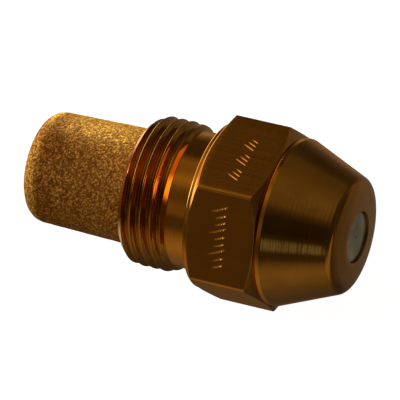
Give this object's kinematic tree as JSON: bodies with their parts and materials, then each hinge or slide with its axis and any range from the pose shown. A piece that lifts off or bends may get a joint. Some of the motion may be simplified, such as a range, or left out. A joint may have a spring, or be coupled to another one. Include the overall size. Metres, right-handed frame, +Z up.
{
  "type": "oil burner nozzle",
  "caption": "Brass oil burner nozzle with a spanner hexagon, coned nose, steel orifice disc, screwed end and sintered bronze filter.",
  "frame": {"origin": "on the nozzle's axis, half way along its whole length from the filter's tip to the mouth of the nose", "axes": "+X along the axis towards the spray end, +Z up, with one flat of the hexagon facing down and another facing up"},
  "size_m": [0.0324, 0.0184, 0.016],
  "materials": {
    "body_brass": "turned, lightly oiled brass with fine tool marks",
    "disc_steel": "matt lapped stainless steel",
    "distributor_steel": "ground hardened steel",
    "pin_brass": "plain turned brass",
    "collar_brass": "plain turned brass",
    "sintered_bronze": "granular sintered bronze, open pores"
  },
  "bodies": {
    "body": {"nozzle_body": "body_brass", "orifice_disc": "disc_steel"},
    "distributor": {"distributor": "distributor_steel"},
    "screw_pin": {"screw_pin": "pin_brass"},
    "filter": {"filter_collar": "collar_brass", "sintered_filter": "sintered_bronze"}
  },
  "joints": [
    {"name": "pin_travel", "type": "slide", "parent": "body", "child": "distributor", "axis": [-1, 0, 0], "range_m": [0, 0.006]},
    {"name": "pin_turn", "type": "hinge", "parent": "distributor", "child": "screw_pin", "pos_m": [0, 0, 0], "axis": [-1, 0, 0], "range_deg": [0, 2160]},
    {"name": "filter_slide", "type": "slide", "parent": "screw_pin", "child": "filter", "axis": [-1, 0, 0], "range_m": [0, 0.004]}
  ],
  "couplings": [
    {"joint": "pin_travel", "follows": "pin_turn", "m_per_rad": 0.00015915}
  ]
}
